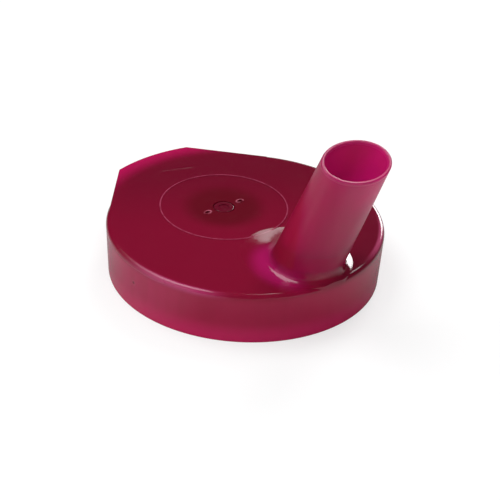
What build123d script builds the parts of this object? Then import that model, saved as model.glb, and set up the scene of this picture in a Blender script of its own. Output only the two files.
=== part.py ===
"""Push-on beaker lid with a wide slanted drinking spout, a lift tab and a floating vent valve.

Millimetres. The origin is on the lid's axis at the skirt's bottom edge, +Z up, +X towards the spout.
"""

from build123d import *
from math import acos, cos, degrees, hypot, radians, sin, tan
import os

# ---- cap: plate and skirt ----
SOCKET_RADIUS = 35.8  # inside of the skirt, over the cup's rim
SKIRT_WALL = 1.2  # at the bottom edge
SKIRT_DRAFT = 1.0  # the outside is wider by this at the plate
CAP_HEIGHT = 15.15
PLATE_THICKNESS = 1.4
SHOULDER_RADIUS = 1.2
SKIRT_EDGE_RADIUS = 0.35

# ---- lift tab ----
TAB_REACH = 6.1  # from the rim to the tab's round end
TAB_HALF_ANGLE = 15.5
TAB_THICKNESS = 1.3
TAB_CORNER_RADIUS = 0.7
TAB_EDGE_RADIUS = 0.4
TAB_OVERLAP = 1.0  # how far the tab's outline runs in under the plate's rounded edge
TAB_SIDE_SETBACK = 0.5  # its straight sides die out on a circle this far inside the rim

# ---- spout: a straight tube whose level sections are ellipses ----
ROOT_SETBACK = 12.24  # from the rim in to the tube's centre, at the plate's top face
ROOT_RADIUS_X = 9.94
ROOT_RADIUS_Y = 9.94
SPOUT_LEAN = 17.5  # how far the mouth's centre stands out from the root's
SPOUT_RISE = 39.21  # and how far above it
MOUTH_RADIUS_X = 8.285
MOUTH_RADIUS_Y = 10.24
MOUTH_TILT = 17.2  # the mouth faces this far outward from straight up
MOUTH_WALL = 0.9
LIP_RADIUS = 0.38

# ---- collar: the flare that carries the spout ----
FLARE_REACH_INNER = 10.3  # how far it runs out at its foot, towards the lid's middle
FLARE_REACH_SIDE = 4.8
FLARE_REACH_OUTER = 2.6
FLARE_HEIGHT = 4.2  # over its foot, where the last of it meets the tube, on the outer side
FLARE_HEIGHT_INNER = 3.6
FLARE_HEIGHT_SIDE = 2.4
FLARE_POWER = 3.0  # how late the slope turns up into the tube, on the inner side
FLARE_POWER_SIDE = 4.0
FLARE_POWER_OUTER = 2.0
FLARE_SINK = 0.06  # its foot lies this far below the plate's top face, so that it has an edge there
COLLAR_HEIGHT = 9.2  # over the plate, where the spout begins
COLLAR_LIP = 0.8  # thickness of the collar's top edge
RIM_WALL_HEIGHT = 4.8  # up to here the collar is trimmed to the skirt's wall, in front of the spout
SPIGOT_DEPTH = 5.2
SPIGOT_WALL = 0.9
SPIGOT_CLEARANCE = 0.05
FUNNEL_REACH_INNER = 3.0  # the funnel under the collar is wider than the spigot's bore by this
FUNNEL_REACH_SIDE = 1.4
FUNNEL_MARGIN = 0.2  # the funnel keeps this far inside the seal ring

# ---- circle on the plate and the vent valve at its middle ----
VENT_X = -9.7
CIRCLE_RADIUS = 17.5
CIRCLE_LINE_WIDTH = 0.36
CIRCLE_LINE_HEIGHT = 0.14
VALVE_STEM_RADIUS = 1.5
VALVE_STEM_CLEARANCE = 0.08
VALVE_HEAD_RADIUS = 2.75
VALVE_HEAD_THICKNESS = 0.42
VALVE_HEAD_CLEARANCE = 0.3
VALVE_HEAD_EDGE = 0.12
VALVE_DIMPLE_RADIUS = 1.45
VALVE_DIMPLE_DEPTH = 0.22
VALVE_REST_GAP = 0.04  # under the head when the valve hangs
HEAD_RECESS_DEPTH = 0.5
VALVE_DISC_RADIUS = 9.9
VALVE_DISC_THICKNESS = 0.6
VALVE_HUB_RADIUS = 3.2
VALVE_HUB_THICKNESS = 1.0
VALVE_LIP_WIDTH = 1.0
VALVE_LIP_HEIGHT = 0.3
VALVE_TRAVEL = 0.5
VALVE_CLOSED_GAP = 0.05
AIR_HOLE_OFFSET = 5.5
AIR_HOLE_LENGTH = 1.7
AIR_HOLE_WIDTH = 0.8
AIR_HOLE_RIM_WIDTH = 0.4
AIR_HOLE_RIM_HEIGHT = 0.16

# ---- seal ring ----
SEAL_WIDTH = 2.55
SEAL_THICKNESS = 2.1
SEAL_GROOVE_DEPTH = 0.6
SEAL_CLEARANCE = 0.05
SEAL_EDGE_RADIUS = 0.4

# ---- worked out ----
CAP_RADIUS = SOCKET_RADIUS + SKIRT_WALL + SKIRT_DRAFT
TAB_RADIUS = CAP_RADIUS + TAB_REACH
SEAL_OUTER_RADIUS = SOCKET_RADIUS + SEAL_GROOVE_DEPTH - SEAL_CLEARANCE
SEAL_INNER_RADIUS = SEAL_OUTER_RADIUS - SEAL_WIDTH
PLATE_TOP = CAP_HEIGHT
PLATE_UNDER = PLATE_TOP - PLATE_THICKNESS
COLLAR_TOP = PLATE_TOP + COLLAR_HEIGHT
FLARE_FOOT = PLATE_TOP - FLARE_SINK
SPIGOT_END = COLLAR_TOP - SPIGOT_DEPTH
ROOT_X = CAP_RADIUS - ROOT_SETBACK
MOUTH_X = ROOT_X + SPOUT_LEAN
MOUTH_Z = PLATE_TOP + SPOUT_RISE
TUBE_TOP = MOUTH_Z + 2.0 * MOUTH_RADIUS_X * tan(radians(MOUTH_TILT))
CUT = 0.5  # how far a cutting tool runs past the face that it cuts
SECTION_POINTS = 24
FLARE_SECTIONS = 10


def cap_radius(z):
    """The skirt's outside radius at height z, carried on above the plate at the same draft."""
    return CAP_RADIUS - SKIRT_DRAFT * (PLATE_TOP - z) / CAP_HEIGHT


def tube_section(z, inset=0.0):
    """Centre and half-widths of the tube's level section at height z, inset all round."""
    t = (z - PLATE_TOP) / SPOUT_RISE
    x = ROOT_X + SPOUT_LEAN * t
    half_x = ROOT_RADIUS_X + (MOUTH_RADIUS_X - ROOT_RADIUS_X) * t - inset
    half_y = ROOT_RADIUS_Y + (MOUTH_RADIUS_Y - ROOT_RADIUS_Y) * t - inset
    return x, half_x, half_y


def flare(reach, height, above, power=FLARE_POWER):
    """How far the flare still stands out at a height above its foot: a ramp that turns up."""
    share = min(max(above / height, 0.0), 1.0)
    return reach * (1.0 - share) ** power


def outer_section(z):
    """Centre and half-widths of the outside at height z, with the flare on its three sides."""
    x, half_x, half_y = tube_section(z)
    above = z - FLARE_FOOT
    low = x - half_x - flare(FLARE_REACH_INNER, FLARE_HEIGHT_INNER, above)
    high = x + half_x + flare(FLARE_REACH_OUTER, FLARE_HEIGHT, above, FLARE_POWER_OUTER)
    wide = half_y + flare(FLARE_REACH_SIDE, FLARE_HEIGHT_SIDE, above, FLARE_POWER_SIDE)
    return (low + high) / 2.0, (high - low) / 2.0, wide


def level_ellipse(z, x, half_x, half_y):
    """A closed level curve, always begun at its +X end, so that sections loft without a twist."""
    turns = [360.0 * k / SECTION_POINTS for k in range(SECTION_POINTS)]
    points = [(x + half_x * cos(radians(a)), half_y * sin(radians(a)), z) for a in turns]
    return Face(Wire([Edge.make_spline(points, periodic=True)]))


def stack(sections, ruled=False):
    """A solid lofted through (z, x, half_x, half_y) sections."""
    return loft([level_ellipse(*s) for s in sections], ruled=ruled)


def ring(outer, inner, low, high):
    """A plain ring about the lid's axis."""
    tall = high - low
    return Pos(0, 0, low) * (
        Cylinder(outer, tall, align=(Align.CENTER, Align.CENTER, Align.MIN))
        - Cylinder(inner, tall, align=(Align.CENTER, Align.CENTER, Align.MIN))
    )


def drum(radius, low, high, x=0.0):
    """A cylinder between two heights, on an upright axis at x."""
    return Pos(x, 0, low) * Cylinder(radius, high - low, align=(Align.CENTER, Align.CENTER, Align.MIN))


def collar_outside():
    """The flare from its foot in the plate to the spout's seat, where it is the bare tube."""
    steps = [90.0 * k / (FLARE_SECTIONS - 1) for k in range(FLARE_SECTIONS)]
    heights = [FLARE_FOOT + FLARE_HEIGHT * (1.0 - cos(radians(a))) for a in steps]
    return stack([(z, *outer_section(z)) for z in heights]) + tube(heights[-1], COLLAR_TOP)


def tube(low, high, low_inset=0.0, high_inset=0.0):
    """A straight length of the spout's tube, inset all round by its two amounts."""
    return stack([(low, *tube_section(low, low_inset)), (high, *tube_section(high, high_inset))], ruled=True)


def cap_body():
    """Plate and skirt, with the seal's groove."""
    body = Cone(cap_radius(0), CAP_RADIUS, CAP_HEIGHT, align=(Align.CENTER, Align.CENTER, Align.MIN))
    rim = body.edges().filter_by(GeomType.CIRCLE)
    body = fillet(rim.sort_by(Axis.Z)[-1], SHOULDER_RADIUS)
    bottom = body.edges().filter_by(GeomType.CIRCLE).sort_by(Axis.Z)[0]
    body = fillet(bottom, SKIRT_EDGE_RADIUS)
    body -= drum(SOCKET_RADIUS, -CUT, PLATE_UNDER)
    body -= drum(SOCKET_RADIUS + SEAL_GROOVE_DEPTH, PLATE_UNDER - SEAL_THICKNESS, PLATE_UNDER)
    return body


def lift_tab():
    """A thin flat tab, level with the plate, its sides run into the rounded edge, its end round."""
    root_radius = CAP_RADIUS - SHOULDER_RADIUS - TAB_OVERLAP
    touch_radius = CAP_RADIUS - TAB_SIDE_SETBACK
    spread = TAB_HALF_ANGLE + degrees(acos(touch_radius / TAB_RADIUS))

    def place(radius, angle):
        turn = radians(180.0 + angle)
        return radius * cos(turn), radius * sin(turn)

    start = place(TAB_RADIUS, -TAB_HALF_ANGLE)
    end = place(TAB_RADIUS, TAB_HALF_ANGLE)
    end_touch = place(touch_radius, spread)
    start_touch = place(touch_radius, -spread)
    end_inside = place(root_radius, spread)
    start_inside = place(root_radius, -spread)
    outline = [
        ThreePointArc(start, place(TAB_RADIUS, 0), end),
        Line(end, end_touch),
        Line(end_touch, end_inside),
        Line(end_inside, start_inside),
        Line(start_inside, start_touch),
        Line(start_touch, start),
    ]
    tab = extrude(make_face(outline), TAB_THICKNESS)
    tab = Pos(0, 0, PLATE_TOP - TAB_THICKNESS) * tab
    corners = tab.edges().filter_by(Axis.Z).sort_by(Axis.X)[:2]
    tab = fillet(corners, TAB_CORNER_RADIUS)
    free = [e for e in tab.faces().sort_by(Axis.Z)[-1].edges() if is_tab_rim(e)]
    return fillet(free, TAB_EDGE_RADIUS)


def is_tab_rim(edge):
    """True for the tab's free edges, whose middles lie outside the rim of the plate."""
    middle = edge.position_at(0.5)
    return hypot(middle.X, middle.Y) > CAP_RADIUS + TAB_OVERLAP / 2


def collar():
    """The flare up to the spout's seat, trimmed to the skirt's wall where it stands at the rim."""
    fill_low = PLATE_UNDER
    fill_high = FLARE_FOOT + FLARE_SINK / 2
    section = outer_section(FLARE_FOOT)
    fill = stack([(fill_low, *section), (fill_high, *section)], ruled=True)
    body = collar_outside() + fill
    low = PLATE_UNDER - CUT
    high = PLATE_TOP + RIM_WALL_HEIGHT
    wall = Pos(0, 0, low) * Cone(
        cap_radius(low), cap_radius(high), high - low, align=(Align.CENTER, Align.CENTER, Align.MIN)
    )
    beyond = drum(2 * CAP_RADIUS, low, high) - wall
    return body - beyond


def socket_hole():
    """The hole that takes the spout's spigot, open at the collar's top."""
    return tube(SPIGOT_END, COLLAR_TOP + CUT, COLLAR_LIP, COLLAR_LIP)


def funnel_hole():
    """The wide way in from under the plate, up to the spigot's bore."""
    bore = COLLAR_LIP + SPIGOT_CLEARANCE + SPIGOT_WALL
    x, half_x, half_y = tube_section(SPIGOT_END, bore)
    top = (SPIGOT_END, x, half_x, half_y)
    low_z = PLATE_UNDER - CUT
    low_x, low_half, low_y = tube_section(low_z, bore)
    left = low_x - low_half - FUNNEL_REACH_INNER
    right = min(low_x + low_half, SEAL_INNER_RADIUS - FUNNEL_MARGIN)
    bottom = (low_z, (left + right) / 2, (right - left) / 2, low_y + FUNNEL_REACH_SIDE)
    return stack([bottom, top], ruled=True)


def circle_line():
    """The fine raised circle round the vent."""
    line = ring(
        CIRCLE_RADIUS + CIRCLE_LINE_WIDTH / 2,
        CIRCLE_RADIUS - CIRCLE_LINE_WIDTH / 2,
        PLATE_TOP - CUT,
        PLATE_TOP + CIRCLE_LINE_HEIGHT,
    )
    return Pos(VENT_X, 0, 0) * line


def air_slot(side, grow, low, high):
    """An upright slot at one air hole, grown all round."""
    slot = SlotOverall(AIR_HOLE_LENGTH + 2 * grow, AIR_HOLE_WIDTH + 2 * grow, rotation=90)
    body = extrude(slot, high - low)
    return Pos(VENT_X, side * AIR_HOLE_OFFSET, low) * body


def cap_shell():
    """Plate, skirt, tab, collar and vent seat: one moulding."""
    body = cap_body() + lift_tab()
    body += collar()
    body += circle_line()
    for side in (-1, 1):
        rim_top = PLATE_TOP + AIR_HOLE_RIM_HEIGHT
        body += air_slot(side, AIR_HOLE_RIM_WIDTH, PLATE_TOP - CUT, rim_top)
    body -= socket_hole()
    body -= funnel_hole()
    head_hole = VALVE_HEAD_RADIUS + VALVE_HEAD_CLEARANCE
    body -= drum(head_hole, PLATE_TOP - HEAD_RECESS_DEPTH, PLATE_TOP + CUT, VENT_X)
    stem_hole = VALVE_STEM_RADIUS + VALVE_STEM_CLEARANCE
    body -= drum(stem_hole, PLATE_UNDER - CUT, PLATE_TOP + CUT, VENT_X)
    for side in (-1, 1):
        body -= air_slot(side, 0.0, PLATE_UNDER - CUT, PLATE_TOP + CUT)
    return body


def spout():
    """The slanted tube, cut square to its mouth's tilt, with a spigot that fits the collar."""
    inset = COLLAR_LIP + SPIGOT_CLEARANCE
    body = tube(COLLAR_TOP, TUBE_TOP)
    body += tube(SPIGOT_END, COLLAR_TOP + CUT, inset, inset)
    body -= tube(SPIGOT_END - CUT, TUBE_TOP + CUT, inset + SPIGOT_WALL, MOUTH_WALL)
    side = 4 * CAP_RADIUS
    over = Box(side, side, side, align=(Align.CENTER, Align.CENTER, Align.MIN))
    body -= Pos(MOUTH_X, 0, MOUTH_Z) * Rot(0, MOUTH_TILT, 0) * over
    mouth = body.faces().sort_by(Axis.Z)[-1]
    return fillet(mouth.edges(), LIP_RADIUS)


def vent_valve():
    """A mushroom valve that hangs by its head: disc below the plate, stem through it, head above."""
    head_low = PLATE_TOP - HEAD_RECESS_DEPTH + VALVE_REST_GAP
    head_high = head_low + VALVE_HEAD_THICKNESS
    lip_top = PLATE_UNDER - VALVE_TRAVEL - VALVE_CLOSED_GAP
    disc_top = lip_top - VALVE_LIP_HEIGHT
    disc_low = disc_top - VALVE_DISC_THICKNESS
    body = drum(VALVE_HEAD_RADIUS, head_low, head_high, VENT_X)
    body = fillet(body.edges().filter_by(GeomType.CIRCLE).sort_by(Axis.Z)[-1], VALVE_HEAD_EDGE)
    body += drum(VALVE_STEM_RADIUS, disc_low, head_high, VENT_X)
    body += drum(VALVE_DISC_RADIUS, disc_low, disc_top, VENT_X)
    body += drum(VALVE_HUB_RADIUS, disc_top - VALVE_HUB_THICKNESS, disc_top, VENT_X)
    lip = ring(VALVE_DISC_RADIUS, VALVE_DISC_RADIUS - VALVE_LIP_WIDTH, disc_low, lip_top)
    body += Pos(VENT_X, 0, 0) * lip
    body -= drum(VALVE_DIMPLE_RADIUS, head_high - VALVE_DIMPLE_DEPTH, head_high + CUT, VENT_X)
    return body


def seal_ring():
    """The soft ring in the groove, against the plate's underside."""
    low = PLATE_UNDER - SEAL_THICKNESS + SEAL_CLEARANCE
    body = ring(SEAL_OUTER_RADIUS, SEAL_INNER_RADIUS, low, PLATE_UNDER)
    inner = body.edges().filter_by(GeomType.CIRCLE).sort_by(SortBy.RADIUS)[:2]
    return fillet(inner.sort_by(Axis.Z)[0], SEAL_EDGE_RADIUS)


os.makedirs("parts", exist_ok=True)
nodes = {
    "cap_shell": cap_shell(),
    "spout": spout(),
    "vent_valve": vent_valve(),
    "seal_ring": seal_ring(),
}
for name, shape in nodes.items():
    export_step(shape, f"parts/{name}.step")
    print(name, "solids", len(shape.solids()), "volume", round(shape.volume, 1))
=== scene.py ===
"""A beaker lid with a slanted spout: finishes, light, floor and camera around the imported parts."""

from math import cos, pi, radians, sin

import bpy
from mathutils import Matrix, Vector


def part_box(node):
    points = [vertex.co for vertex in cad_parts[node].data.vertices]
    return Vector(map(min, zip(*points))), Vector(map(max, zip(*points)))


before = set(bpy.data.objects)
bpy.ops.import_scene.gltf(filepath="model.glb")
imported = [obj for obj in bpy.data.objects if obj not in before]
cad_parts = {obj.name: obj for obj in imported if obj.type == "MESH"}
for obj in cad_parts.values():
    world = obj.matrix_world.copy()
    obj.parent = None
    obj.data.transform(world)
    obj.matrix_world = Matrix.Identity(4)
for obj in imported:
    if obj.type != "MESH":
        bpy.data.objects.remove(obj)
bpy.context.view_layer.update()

# ---- places on the lid, in metres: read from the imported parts, or the lid's own sizes ----
valve_low, valve_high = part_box("vent_valve")
_, seal_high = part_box("seal_ring")
PLATE_THICKNESS = 0.0014
PLATE_TOP = seal_high.z + PLATE_THICKNESS
SEAL_RADIUS = seal_high.x
VENT_X = (valve_low.x + valve_high.x) / 2
VALVE_RADIUS = (valve_high.x - valve_low.x) / 2
CIRCLE_RADIUS = 0.0175
CIRCLE_LINE_WIDTH = 0.00036
AIR_HOLE_OFFSET = 0.0055
AIR_HOLE_ASPECT = 0.72  # the holes are slots along Y, so that distances along Y count for less
PIT_X, PIT_Y, PIT_Z = 0.0001, -0.0375, 0.0088
SCRATCH_X, SCRATCH_Y = -0.0335, 0.0020
SPOUT_FOOT_X = 0.0258
SPOUT_SLOPE = 0.446  # how far the tube leans for each metre up
SPOUT_TAPER = 0.0422  # and how much its half width along X shrinks
SPOUT_FOOT_HALF_X = 0.00994
SPOUT_HALF_Y = 0.0101
MOUTH_X = SPOUT_FOOT_X + 0.0175
MOUTH_Z = PLATE_TOP + 0.03921
MOUTH_TILT = radians(17.2)
NEAR_AXIS = 0.001  # closer to an axis than this, the sides round it fade out

# ---- level headings, named as the camera sees them; the spout is at +X and the tab at -X ----
FRONT = (1.0, -0.6)
BACK = (-0.87, 0.50)
LEFT = (-0.64, -0.77)
NEAR_LEFT = (-0.35, -0.94)  # turned a little towards the front
FRONT_LEFT = (-0.225, -0.974)
RIGHT = (0.64, 0.77)
NEAR_RIGHT = (0.77, 0.64)
FRONT_RIGHT = (0.94, 0.34)
ALONG_SCRATCH = (0.35, 0.94)
ACROSS_SCRATCH = (0.94, -0.35)


# ---- shader maths ----
class Signal:
    """A shader socket that can be used in Python sums; each sum adds its Math node."""

    def __init__(self, paint, socket):
        self.paint = paint
        self.socket = socket

    def sum(self, operation, other, swapped=False):
        first, second = (other, self) if swapped else (self, other)
        return self.paint.node("ShaderNodeMath", {"operation": operation}, {0: first, 1: second})

    def __add__(self, other):
        return self.sum("ADD", other)

    def __sub__(self, other):
        return self.sum("SUBTRACT", other)

    def __rsub__(self, other):
        return self.sum("SUBTRACT", other, swapped=True)

    def __mul__(self, other):
        return self.sum("MULTIPLY", other)

    def __truediv__(self, other):
        return self.sum("DIVIDE", other)

    def at_least(self, other):
        return self.sum("MAXIMUM", other)

    def magnitude(self):
        return self.paint.node("ShaderNodeMath", {"operation": "ABSOLUTE"}, {0: self})

    def ramp(self, low, high):
        """0 below low, 1 above high and smooth between; low may be the higher of the two."""
        return self.paint.node(
            "ShaderNodeMapRange",
            {"interpolation_type": "SMOOTHSTEP"},
            {"Value": self, "From Min": low, "From Max": high},
        )


class Paint:
    """One material's node tree, filled by short calls."""

    def __init__(self, name):
        self.material = bpy.data.materials.new(name)
        self.material.use_nodes = True
        self.tree = self.material.node_tree
        self.tree.nodes.clear()
        self.point = self.node("ShaderNodeTexCoord", output="Object")

    def node(self, kind, settings=None, inputs=None, output=0):
        made = self.tree.nodes.new(kind)
        for key, value in (settings or {}).items():
            setattr(made, key, value)
        for key, value in (inputs or {}).items():
            if isinstance(value, Signal):
                self.tree.links.new(value.socket, made.inputs[key])
            else:
                made.inputs[key].default_value = value
        return Signal(self, made.outputs[output])

    def other_output(self, signal, name):
        """Another output of the node that a signal comes from."""
        return Signal(self, signal.socket.node.outputs[name])

    def length(self, *parts):
        """The length of a vector with these parts."""
        parts = list(parts) + [0.0] * (3 - len(parts))
        joined = self.node("ShaderNodeCombineXYZ", inputs=dict(enumerate(parts)))
        return self.node("ShaderNodeVectorMath", {"operation": "LENGTH"}, {0: joined}, output=1)

    def noise(self, scale, detail, point=None):
        """Cloudy noise at the point being painted, or at another one."""
        point = self.point if point is None else point
        inputs = {"Vector": point, "Scale": scale, "Detail": detail}
        return self.node("ShaderNodeTexNoise", inputs=inputs)

    def flow_lines(self, scale, drawn):
        """Noise drawn out along Z, as plastic shows where it flowed into its mould."""
        factors = {0: self.point, 1: (1.0, 1.0, drawn)}
        point = self.node("ShaderNodeVectorMath", {"operation": "MULTIPLY"}, factors)
        return self.noise(scale, detail=3.0, point=point)

    def mix(self, share, first, second):
        """From the first colour to the second."""
        return self.node(
            "ShaderNodeMix",
            {"data_type": "RGBA", "clamp_factor": True},
            {0: share, 6: colour(first), 7: colour(second)},
            output=2,
        )

    def blend(self, share, first, second):
        """From the first surface to the second."""
        return self.node("ShaderNodeMixShader", inputs={0: share, 1: first, 2: second})

    def bump(self, height, distance):
        return self.node("ShaderNodeBump", inputs={"Height": height, "Distance": distance})

    def finish(self, surface):
        output = self.tree.nodes.new("ShaderNodeOutputMaterial")
        self.tree.links.new(surface.socket, output.inputs["Surface"])
        return self.material


class Spot:
    """Where the point being painted lies on the lid, in metres."""

    def __init__(self, paint):
        self.paint = paint
        self.x = paint.node("ShaderNodeSeparateXYZ", inputs={0: paint.point}, output="X")
        self.y = paint.other_output(self.x, "Y")
        self.z = paint.other_output(self.x, "Z")

    def along(self, heading, x=None):
        """How far the point lies along a level heading, with another X in place of its own."""
        return (self.x if x is None else x) * heading[0] + self.y * heading[1]

    def over_plate(self, low, high):
        """A ramp in height, both ends measured up from the plate's top."""
        return self.z.ramp(PLATE_TOP + low, PLATE_TOP + high)

    def off_spout_axis(self):
        """How far the point lies from the tube's leaning axis, along X."""
        return self.x - (self.z - PLATE_TOP) * SPOUT_SLOPE - SPOUT_FOOT_X

    def side(self, heading, off_axis):
        """1 on the side of an axis at that heading, 0 square to it and -1 opposite."""
        off = self.paint.length(off_axis, self.y)
        return self.along(heading, off_axis) / off.at_least(NEAR_AXIS)


def colour(value):
    """An RGB tuple as the RGBA that a socket takes; a signal as it is."""
    return value if isinstance(value, Signal) else (*value, 1.0)


def grey(value):
    return (value, value, value)


# ---- the plastic: a glossy skin, and the light that comes through the wall ----
CAP_GLOW = (0.55, 0.0030, 0.15)
CAP_GLOW_SHARE = 0.2
SPOUT_GLOW = (0.88, 0.0800, 0.46)
SPOUT_GLOW_SHARE = 0.5
PLASTIC_IOR = 1.49
PLASTIC_SPECULAR = 0.5


def moulded(paint, base, roughness, normal, glow, usual_share, share=None):
    """Translucent polypropylene; share is the glow's, where it varies over the surface."""
    skin = paint.node(
        "ShaderNodeBsdfPrincipled",
        inputs={
            "Base Color": colour(base),
            "Roughness": roughness,
            "Normal": normal,
            "IOR": PLASTIC_IOR,
            "Specular IOR Level": PLASTIC_SPECULAR / (1 - usual_share),
        },
    )
    through = paint.node(
        "ShaderNodeBsdfTranslucent", inputs={"Color": colour(glow), "Normal": normal}
    )
    return paint.blend(usual_share if share is None else share, skin, through)


# ---- the cap's colours ----
CRIMSON = (0.198, 0.0042, 0.0250)
CLOUDED_CRIMSON = (0.186, 0.0042, 0.0232)
# painted shade: at the back, over the valve's disc and right of the spout
BACK_SHADE_CRIMSON = (0.140, 0.0040, 0.0190)
VALVE_SHADE_CRIMSON = (0.108, 0.0036, 0.0105)
BESIDE_SPOUT_SHADE_CRIMSON = (0.135, 0.0046, 0.0200)
# painted glow of light coming through the thin tab and the flare's foot
TAB_GLOW_PINK = (0.40, 0.0060, 0.076)
FLARE_GLOW_PINK = (0.34, 0.0070, 0.090)
SKIRT_CRIMSON = (0.275, 0.0058, 0.040)
# painted light on the skirt's left and right
SKIRT_LIT_LEFT_CRIMSON = (0.34, 0.0070, 0.062)
SKIRT_LIT_RIGHT_CRIMSON = (0.325, 0.0060, 0.048)
SKIRT_FLOW_CRIMSON = (0.24, 0.0050, 0.033)
# painted glow along the skirt's lower edge
SKIRT_FOOT_GLOW_PINK = (0.435, 0.0095, 0.080)
# painted glow and highlight in the rounded edge
EDGE_GLOW_PINK = (0.34, 0.026, 0.102)
INNER_EDGE_HIGHLIGHT_PINK = (0.36, 0.050, 0.125)
# painted shade in the pit and a painted highlight round its rim
PIT_SHADE_CRIMSON = (0.085, 0.0030, 0.0100)
PIT_RIM_HIGHLIGHT_PINK = (0.42, 0.0900, 0.1500)
# painted highlights on the circle's line and on the air holes' rims
CIRCLE_HIGHLIGHT_PINK = (0.35, 0.048, 0.105)
AIR_HOLE_HIGHLIGHT_PINK = (0.46, 0.110, 0.170)

# ---- where each shade or mark starts and where it is full, in metres ----
BACK_SHADE = (-0.004, 0.031)
VALVE_SHADE = (VALVE_RADIUS * 1.34, VALVE_RADIUS * 0.74)
TAB_LIGHT = (SEAL_RADIUS + 0.0010, SEAL_RADIUS + 0.0075)
FLARE_SIDE = (0.25, 0.90)  # as Spot.side gives it
FLARE_REACH = (0.0165, 0.0112)
BESIDE_SPOUT = (0.024, 0.034)
SKIRT_DEPTH = (-0.0002, -0.0030)
SKIRT_LEFT = (0.020, 0.037)
SKIRT_RIGHT = (0.008, 0.034)
SKIRT_FOOT = (0.0068, 0.0010)
SKIRT_FLOW = (0.35, 0.65)  # in the noise, which runs from 0 to 1
EDGE_RADII = (0.0364, 0.0372)
EDGE_HEIGHTS = (-0.0024, -0.0010)
LIT_EDGE_LEFT = (0.014, 0.024)
LIT_EDGE_FRONT = (0.016, 0.034)
SOFT_EDGE_FRONT = (0.004, 0.018)
SOFT_EDGE_X = (0.019, 0.008)
SOFT_EDGE_Y = (-0.010, -0.020)
INNER_EDGE_RADII = (0.0360, 0.0367)
INNER_EDGE_HEIGHTS = (-0.0006, -0.0002)
INNER_EDGE_X = (0.013, 0.026)
INNER_EDGE_Y = (0.012, 0.024)
PIT_RADII = (0.00052, 0.00028)
PIT_RIM_OUTSIDE = (0.00095, 0.00065)
PIT_RIM_INSIDE = (0.00042, 0.00058)
PLATE_SURFACE = (-0.00010, 0.00003)
CIRCLE_LINE = (CIRCLE_LINE_WIDTH * 0.75, CIRCLE_LINE_WIDTH * 0.25)
AIR_HOLE_RIM_OUTSIDE = (0.00105, 0.00080)
AIR_HOLE_RIM_INSIDE = (0.00045, 0.00060)
HIGHLIGHT_PATCHES = (0.30, 0.62)  # in the noise
SCRATCH_ENDS = (0.0052, 0.0030)
SCRATCH_SIDES = (0.00022, 0.00008)
SCRATCH_DEPTH = (-0.0002, -0.0001)
COLLAR_RISE = (0.0014, 0.0048)

# ---- how strongly they show, where 1 hides what is under them ----
VALVE_SHADE_SHARE = 0.9
SKIRT_FLOW_SHARE = 0.35
PIT_RIM_SHARE = 0.3
CIRCLE_PATCH_SHARE = 0.6  # the share of the circle's painted highlight that the patches can take away
AIR_HOLE_RIM_SHARE = 0.9

# ---- the cap's gloss and relief ----
CAP_ROUGHNESS = 0.08
SMUDGE_ROUGHNESS = 0.06
COLLAR_ROUGHNESS = 0.10
SKIRT_ROUGHNESS = 0.10
SOFT_EDGE_ROUGHNESS = 0.20
CAP_RELIEF = 0.00003
FINE_RELIEF = 0.00002
GRAIN_HEIGHT = 0.2  # this and the next three as shares of the cap's relief
FLOW_HEIGHT = 0.25
SCRATCH_HEIGHT = -0.6
PIT_HEIGHT = -5.0


def plate_colour(paint, spot, from_vent, from_axis):
    """Painted shade at the back, over the valve's disc and right of the spout; painted glow in tab
    and flare.
    """
    base = paint.mix(paint.noise(scale=90.0, detail=4.0), CRIMSON, CLOUDED_CRIMSON)
    base = paint.mix(spot.along(BACK).ramp(*BACK_SHADE), base, BACK_SHADE_CRIMSON)
    base = paint.mix(from_vent.ramp(*VALVE_SHADE) * VALVE_SHADE_SHARE, base, VALVE_SHADE_CRIMSON)
    base = paint.mix(from_axis.ramp(*TAB_LIGHT), base, TAB_GLOW_PINK)
    off_foot = spot.x - SPOUT_FOOT_X
    flare_side = spot.side(FRONT_LEFT, off_foot).ramp(*FLARE_SIDE)
    flare_glow = flare_side * paint.length(off_foot, spot.y).ramp(*FLARE_REACH)
    base = paint.mix(flare_glow, base, FLARE_GLOW_PINK)
    shade_beside_spout = spot.along(NEAR_RIGHT).ramp(*BESIDE_SPOUT) * (1.0 - flare_glow)
    return paint.mix(shade_beside_spout, base, BESIDE_SPOUT_SHADE_CRIMSON)


def skirt_colour(paint, spot, flow):
    """Painted light on the left and right, a painted glow along the lower edge, and faint flow
    lines.
    """
    lit_left = spot.along(NEAR_LEFT).ramp(*SKIRT_LEFT)
    base = paint.mix(lit_left, SKIRT_CRIMSON, SKIRT_LIT_LEFT_CRIMSON)
    base = paint.mix(flow.ramp(*SKIRT_FLOW) * SKIRT_FLOW_SHARE, base, SKIRT_FLOW_CRIMSON)
    base = paint.mix(spot.along(RIGHT).ramp(*SKIRT_RIGHT), base, SKIRT_LIT_RIGHT_CRIMSON)
    return paint.mix(spot.z.ramp(*SKIRT_FOOT), base, SKIRT_FOOT_GLOW_PINK)


def lit_edges(paint, spot, base, from_axis, edge):
    """Painted glow and highlight where light gathers in the rounded edge: outside front left, inside
    right.
    """
    lit_left = spot.along(NEAR_LEFT).ramp(*LIT_EDGE_LEFT)
    front = spot.along(FRONT).ramp(*LIT_EDGE_FRONT)
    base = paint.mix(edge * lit_left * front, base, EDGE_GLOW_PINK)
    inner_edge = from_axis.ramp(*INNER_EDGE_RADII) * spot.over_plate(*INNER_EDGE_HEIGHTS)
    right = spot.x.ramp(*INNER_EDGE_X) * spot.y.ramp(*INNER_EDGE_Y)
    return paint.mix(inner_edge * right, base, INNER_EDGE_HIGHLIGHT_PINK)


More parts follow.
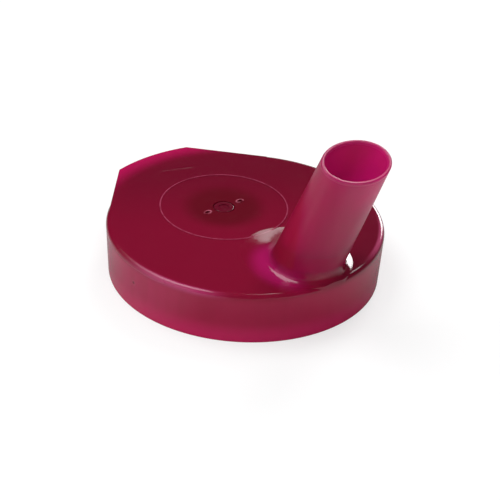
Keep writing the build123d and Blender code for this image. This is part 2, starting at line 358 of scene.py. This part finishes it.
def plate_marks(paint, spot, base, from_vent):
    """Painted highlights along the fine circle on the plate and round the rims of the two air holes,
    in patches.
    """
    on_top = spot.over_plate(*PLATE_SURFACE)
    patches = paint.noise(scale=700.0, detail=3.0).ramp(*HIGHLIGHT_PATCHES)
    line = (from_vent - CIRCLE_RADIUS).magnitude().ramp(*CIRCLE_LINE)
    left_by_patches = patches * CIRCLE_PATCH_SHARE + (1.0 - CIRCLE_PATCH_SHARE)
    base = paint.mix(line * on_top * left_by_patches, base, CIRCLE_HIGHLIGHT_PINK)
    along_slot = (spot.y.magnitude() - AIR_HOLE_OFFSET) * AIR_HOLE_ASPECT
    off_hole = paint.length(spot.x - VENT_X, along_slot)
    rim = off_hole.ramp(*AIR_HOLE_RIM_OUTSIDE) * off_hole.ramp(*AIR_HOLE_RIM_INSIDE)
    return paint.mix(rim * on_top * patches * AIR_HOLE_RIM_SHARE, base, AIR_HOLE_HIGHLIGHT_PINK)


def scratch_mark(spot):
    """One faint straight scratch in the plate, behind the circle."""
    x, y = spot.x - SCRATCH_X, spot.y - SCRATCH_Y
    along = x * ALONG_SCRATCH[0] + y * ALONG_SCRATCH[1]
    across = x * ACROSS_SCRATCH[0] + y * ACROSS_SCRATCH[1]
    inside = along.magnitude().ramp(*SCRATCH_ENDS) * across.magnitude().ramp(*SCRATCH_SIDES)
    return inside * spot.over_plate(*SCRATCH_DEPTH)


def cap_plastic():
    """The cap: deep crimson on the plate, and a painted glow where its wall is thin and light comes
    through.
    """
    paint = Paint("cap_plastic")
    spot = Spot(paint)
    from_vent = paint.length(spot.x - VENT_X, spot.y)
    from_axis = paint.length(spot.x, spot.y)
    flow = paint.flow_lines(scale=420.0, drawn=0.06)
    below_plate = spot.over_plate(*SKIRT_DEPTH)
    up_collar = spot.over_plate(*COLLAR_RISE)
    edge = from_axis.ramp(*EDGE_RADII) * spot.over_plate(*EDGE_HEIGHTS)

    base = plate_colour(paint, spot, from_vent, from_axis)
    base = paint.mix(below_plate, base, skirt_colour(paint, spot, flow))
    base = lit_edges(paint, spot, base, from_axis, edge)

    # a tiny pit in the skirt, with painted shade in it and a painted highlight round its rim
    from_pit = paint.length(spot.x - PIT_X, spot.y - PIT_Y, spot.z - PIT_Z)
    pit = from_pit.ramp(*PIT_RADII)
    pit_rim_highlight = from_pit.ramp(*PIT_RIM_OUTSIDE) * from_pit.ramp(*PIT_RIM_INSIDE)
    base = paint.mix(pit, base, PIT_SHADE_CRIMSON)
    base = paint.mix(pit_rim_highlight * PIT_RIM_SHARE, base, PIT_RIM_HIGHLIGHT_PINK)
    base = plate_marks(paint, spot, base, from_vent)

    grain = paint.noise(scale=2600.0, detail=2.0)
    waves = paint.noise(scale=160.0, detail=2.0)
    height = grain * GRAIN_HEIGHT + waves + flow * FLOW_HEIGHT
    height = height + scratch_mark(spot) * SCRATCH_HEIGHT + pit * PIT_HEIGHT
    normal = paint.bump(height, CAP_RELIEF)

    # duller on the skirt, up the collar and on the rounded edge at the front left
    soft_front = spot.along(FRONT).ramp(*SOFT_EDGE_FRONT) * spot.x.ramp(*SOFT_EDGE_X)
    soft_edge = edge * soft_front * spot.y.ramp(*SOFT_EDGE_Y)
    roughness = paint.noise(scale=220.0, detail=5.0) * SMUDGE_ROUGHNESS + CAP_ROUGHNESS
    roughness = roughness + up_collar * COLLAR_ROUGHNESS + below_plate * SKIRT_ROUGHNESS
    roughness = roughness + soft_edge * SOFT_EDGE_ROUGHNESS

    # the collar takes the spout's look towards its top
    plate_and_skirt = moulded(paint, base, roughness, normal, CAP_GLOW, CAP_GLOW_SHARE)
    # with the same painted shade on the collar's left flank
    collar_base = paint.mix(shaded_spout_flank(spot), SPOUT_CRIMSON, FLANK_SHADE_CRIMSON)
    collar = moulded(paint, collar_base, roughness, normal, SPOUT_GLOW, SPOUT_GLOW_SHARE)
    return paint.finish(paint.blend(up_collar, plate_and_skirt, collar))


# ---- the spout ----
SPOUT_CRIMSON = (0.300, 0.0085, 0.060)
SPOUT_CLOUD_CRIMSON = (0.285, 0.0060, 0.052)
SPOUT_FLOW_CRIMSON = (0.330, 0.0070, 0.066)
# painted shade on the tube's front right, a little greyer
SPOUT_FRONT_SHADE_CRIMSON = (0.235, 0.0190, 0.064)
# painted shade on the tube's left flank
FLANK_SHADE_CRIMSON = (0.300, 0.0078, 0.034)
# painted glow inside the tube
INSIDE_GLOW_CRIMSON = (0.36, 0.024, 0.062)
LIP_PINK = (0.30, 0.0200, 0.095)
FLANK_FOOT = 0.36  # where the flank begins at the foot, as Spot.side gives it
FLANK_NARROWING = 22.0  # and how much more than that for each metre up
FLANK_EDGE = (-0.03, 0.03)
SPOUT_FRONT = (-0.35, 0.55)  # as Spot.side gives it
SPOUT_FLOW = (0.4, 0.7)  # in the noise
SPOUT_FLOW_SHARE = 0.5
INSIDE_WALL = (0.975, 0.935)  # as shares of the tube's half widths
INSIDE_RIGHT = (0.0000, 0.0085)  # in metres off the tube's axis
INSIDE_GLOW = -0.28  # added to the tube's share of glow, all round the inside
INSIDE_RIGHT_GLOW = 0.44  # and added to that on the right
LIP_RISE = (-0.0016, -0.0006)  # in metres over the mouth
LIP_SHARE = 0.7
SPOUT_ROUGHNESS = 0.18
LIP_ROUGHNESS = 0.12


def shaded_spout_flank(spot):
    """1 on the tube's left flank, where the plastic is painted darker as shade, and 0 elsewhere."""
    round_to_left = spot.side(LEFT, spot.off_spout_axis())
    beyond = round_to_left - (spot.z - PLATE_TOP) * FLANK_NARROWING - FLANK_FOOT
    return beyond.ramp(*FLANK_EDGE)


def spout_plastic():
    """The spout: lighter and duller than the cap, and aglow inside on the right."""
    paint = Paint("spout_plastic")
    spot = Spot(paint)
    flow = paint.flow_lines(scale=500.0, drawn=0.08)
    off_axis = spot.off_spout_axis()
    front = spot.side(FRONT_RIGHT, off_axis).ramp(*SPOUT_FRONT)
    base = paint.mix(paint.noise(scale=120.0, detail=4.0), SPOUT_CRIMSON, SPOUT_CLOUD_CRIMSON)
    base = paint.mix(flow.ramp(*SPOUT_FLOW) * SPOUT_FLOW_SHARE, base, SPOUT_FLOW_CRIMSON)
    # painted shade on the tube's left flank
    base = paint.mix(shaded_spout_flank(spot), base, FLANK_SHADE_CRIMSON)
    # painted shade on the tube's front right, a little greyer
    base = paint.mix(front, base, SPOUT_FRONT_SHADE_CRIMSON)

    # inside, the right wall lets more light through than the left one
    half_x = SPOUT_FOOT_HALF_X - (spot.z - PLATE_TOP) * SPOUT_TAPER
    inside = paint.length(off_axis / half_x, spot.y / SPOUT_HALF_Y).ramp(*INSIDE_WALL)
    right_wall = spot.along(RIGHT, off_axis).ramp(*INSIDE_RIGHT)
    inside_glow = inside * (right_wall * INSIDE_RIGHT_GLOW + INSIDE_GLOW)
    # the inside is painted lighter too: a painted glow of the light coming through
    base = paint.mix(inside, base, INSIDE_GLOW_CRIMSON)

    # the rounded lip, a little duller and pinker than the wall below it
    over_mouth = (spot.x - MOUTH_X) * sin(MOUTH_TILT) + (spot.z - MOUTH_Z) * cos(MOUTH_TILT)
    lip = over_mouth.ramp(*LIP_RISE)
    base = paint.mix(lip * LIP_SHARE, base, LIP_PINK)

    grain = paint.noise(scale=3200.0, detail=3.0)
    normal = paint.bump(grain * 0.5 + flow * 0.5, FINE_RELIEF)
    smudge = paint.noise(scale=240.0, detail=4.0) * SMUDGE_ROUGHNESS
    roughness = smudge + SPOUT_ROUGHNESS + lip * LIP_ROUGHNESS
    share = inside_glow + SPOUT_GLOW_SHARE
    surface = moulded(paint, base, roughness, normal, SPOUT_GLOW, SPOUT_GLOW_SHARE, share)
    return paint.finish(surface)


# ---- the valve and the seal ----
VALVE_CRIMSON = (0.098, 0.0030, 0.014)
VALVE_CLOUD_CRIMSON = (0.086, 0.0026, 0.011)
SEAL_MILK = (0.74, 0.72, 0.68)
SEAL_CLOUD_MILK = (0.66, 0.64, 0.60)
SILICONE_IOR = 1.41
SILICONE_ROUGHNESS = 0.09
SILICONE_CLOUD_ROUGHNESS = 0.05


def silicone(name, base, clouded):
    """Smooth soft rubber with a faint cloud and a fine grain."""
    paint = Paint(name)
    cloud = paint.noise(scale=300.0, detail=3.0)
    grain = paint.noise(scale=4000.0, detail=2.0)
    surface = paint.node(
        "ShaderNodeBsdfPrincipled",
        inputs={
            "Base Color": paint.mix(cloud, base, clouded),
            "Roughness": cloud * SILICONE_CLOUD_ROUGHNESS + SILICONE_ROUGHNESS,
            "Normal": paint.bump(grain, FINE_RELIEF),
            "IOR": SILICONE_IOR,
        },
    )
    return paint.finish(surface)


def finish_node(name, material):
    """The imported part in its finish; its mesh is left as it is."""
    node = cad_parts[name]
    node.data.materials.clear()
    node.data.materials.append(material)


finish_node("cap_shell", cap_plastic())
finish_node("spout", spout_plastic())
finish_node("vent_valve", silicone("valve_silicone", VALVE_CRIMSON, VALVE_CLOUD_CRIMSON))
finish_node("seal_ring", silicone("seal_silicone", SEAL_MILK, SEAL_CLOUD_MILK))


# ---- floor, light and camera ----
CAMERA_DISTANCE = 0.74485
CAMERA_AZIMUTH = -39.5
CAMERA_ELEVATION = 31.62
CAMERA_DIP = 31.21
CAMERA_YAW = 0.145
CAMERA_ROLL = 3.0
CAMERA_LENS = 195.0
LIGHT_DISTANCE = 0.8
FLOOR_SIZE = 6.0
FLOOR_WHITE = grey(0.97)
FLOOR_FIBRE = grey(0.95)
FLOOR_SEEN = grey(0.80)  # the paper as the camera sees it, apart from its own light
FLOOR_SELF_LIGHT = 0.62
MIRRORED_FRONT = grey(0.26)
MIRRORED_RIGHT = grey(0.54)
MIRRORED_FAR_RIGHT = grey(0.32)
MIRRORED_LEFT = grey(0.43)
RIGHT_FLOOR = (0.020, 0.050)  # in metres across the camera's view
FAR_RIGHT_FLOOR = (0.062, 0.085)
LEFT_FLOOR = (-0.012, -0.034)
SKIRT_SHADE_REACH = (0.056, 0.046)
SKIRT_SHADE_LEFT = (-0.030, -0.010)
SKIRT_SHADE_RIGHT = (0.026, 0.042)
SKIRT_SHADE_FADE = 0.75  # towards the right
SKIRT_SHADE_SHARE = 0.60
BLACK = grey(0.0)
WHITE = grey(1.0)
STUDIO_DIM = grey(0.015)

# ---- the soft boxes: azimuth, elevation, size, brightness, and whether the gloss mirrors it ----
LIGHTS = {
    "overhead_box": (-60, 76, (1.0, 1.0), 1.4, False),
    "front_fill": (-36, 25, (0.8, 0.5), 2.1, False),
    "left_high_box": (-138, 61, (0.56, 0.50), 4.2, True),
    "left_low_box": (-106, 20, (0.80, 0.50), 0.9, True),
    "back_bright_box": (119, 16, (0.26, 0.28), 12.0, True),
    "back_box": (141, 19.5, (0.20, 0.10), 2.3, True),
    "back_dim_box": (144, 6, (0.42, 0.22), 0.25, True),
    "back_high_box": (113, 54, (0.36, 0.30), 6.0, True),
}


def direction(azimuth, elevation):
    """The unit vector that points that way from the lid; azimuth 0 is the spout's side."""
    a, e = radians(azimuth), radians(elevation)
    return Vector((cos(a) * cos(e), sin(a) * cos(e), sin(e)))


def mirrored_floor(paint):
    """The floor as the lid's gloss mirrors it, painted palest on the right, with a painted shadow
    beside the skirt.
    """
    spot = Spot(paint)
    right = direction(CAMERA_AZIMUTH + 90, 0)
    across = spot.along((right.x, right.y))
    shade = paint.mix(across.ramp(*RIGHT_FLOOR), MIRRORED_FRONT, MIRRORED_RIGHT)
    shade = paint.mix(across.ramp(*FAR_RIGHT_FLOOR), shade, MIRRORED_FAR_RIGHT)
    shade = paint.mix(across.ramp(*LEFT_FLOOR), shade, MIRRORED_LEFT)
    # a painted shadow on the mirrored floor beside the skirt
    skirt_shadow = paint.length(spot.x, spot.y).ramp(*SKIRT_SHADE_REACH)
    skirt_shadow = skirt_shadow * across.ramp(*SKIRT_SHADE_LEFT)
    skirt_shadow = skirt_shadow * (1.0 - across.ramp(*SKIRT_SHADE_RIGHT) * SKIRT_SHADE_FADE)
    return paint.mix(skirt_shadow * SKIRT_SHADE_SHARE, shade, BLACK)


def floor_material():
    """White paper to the light and to the camera, and a shaded floor to the lid's gloss."""
    paint = Paint("floor_paper")
    mirrored = paint.node("ShaderNodeLightPath", output="Is Glossy Ray")
    seen = paint.other_output(mirrored, "Is Camera Ray")
    paper = paint.mix(paint.noise(scale=900.0, detail=2.0), FLOOR_WHITE, FLOOR_FIBRE)
    paper = paint.mix(mirrored, paper, mirrored_floor(paint))
    paper = paint.mix(seen, paper, FLOOR_SEEN)
    lit = paint.node("ShaderNodeBsdfDiffuse", inputs={"Color": paper})
    backlit = paint.node("ShaderNodeEmission", inputs={"Color": colour(WHITE)})
    return paint.finish(paint.blend(seen * FLOOR_SELF_LIGHT, lit, backlit))


def add_floor():
    bpy.ops.object.select_all(action="DESELECT")
    bpy.ops.mesh.primitive_plane_add(size=FLOOR_SIZE, location=(0, 0, 0))
    floor = bpy.context.object
    floor.name = "floor"
    floor.data.materials.append(floor_material())


def add_light(name, azimuth, elevation, size, brightness, glossy):
    """A soft box that faces the lid: its size across and up in metres, and 1 is white."""
    bpy.ops.object.light_add(type="AREA", location=direction(azimuth, elevation) * LIGHT_DISTANCE)
    light = bpy.context.object
    light.name = name
    light.data.shape = "RECTANGLE"
    light.data.size, light.data.size_y = size
    light.data.energy = brightness * pi * size[0] * size[1]
    light.rotation_euler = (-light.location).to_track_quat("-Z", "Y").to_euler()
    light.visible_glossy = glossy


def set_world():
    """White behind the lid to the camera; a dim studio to everything else."""
    world = bpy.data.worlds.new("studio")
    bpy.context.scene.world = world
    world.use_nodes = True
    tree = world.node_tree
    tree.nodes.clear()
    path = tree.nodes.new("ShaderNodeLightPath")
    mix = tree.nodes.new("ShaderNodeMix")
    mix.data_type = "RGBA"
    mix.inputs[6].default_value = colour(STUDIO_DIM)
    mix.inputs[7].default_value = colour(WHITE)
    back = tree.nodes.new("ShaderNodeBackground")
    output = tree.nodes.new("ShaderNodeOutputWorld")
    tree.links.new(path.outputs["Is Camera Ray"], mix.inputs[0])
    tree.links.new(mix.outputs[2], back.inputs["Color"])
    tree.links.new(back.outputs[0], output.inputs["Surface"])


def add_camera():
    """The camera, aimed a little off the lid's origin and rolled."""
    place = direction(CAMERA_AZIMUTH, CAMERA_ELEVATION) * CAMERA_DISTANCE
    ahead = -direction(CAMERA_AZIMUTH - CAMERA_YAW, CAMERA_DIP)
    right = ahead.cross(Vector((0, 0, 1))).normalized()
    up = right.cross(ahead)
    turn = Matrix.Rotation(radians(CAMERA_ROLL), 3, -ahead)
    right, up = turn @ right, turn @ up
    bpy.ops.object.camera_add()
    camera = bpy.context.object
    camera.data.lens = CAMERA_LENS
    camera.matrix_world = Matrix((right, up, -ahead)).transposed().to_4x4()
    camera.location = place
    bpy.context.scene.camera = camera


add_floor()
set_world()
for name, light in LIGHTS.items():
    add_light(name, *light)
add_camera()
bpy.context.scene.view_settings.view_transform = "Standard"
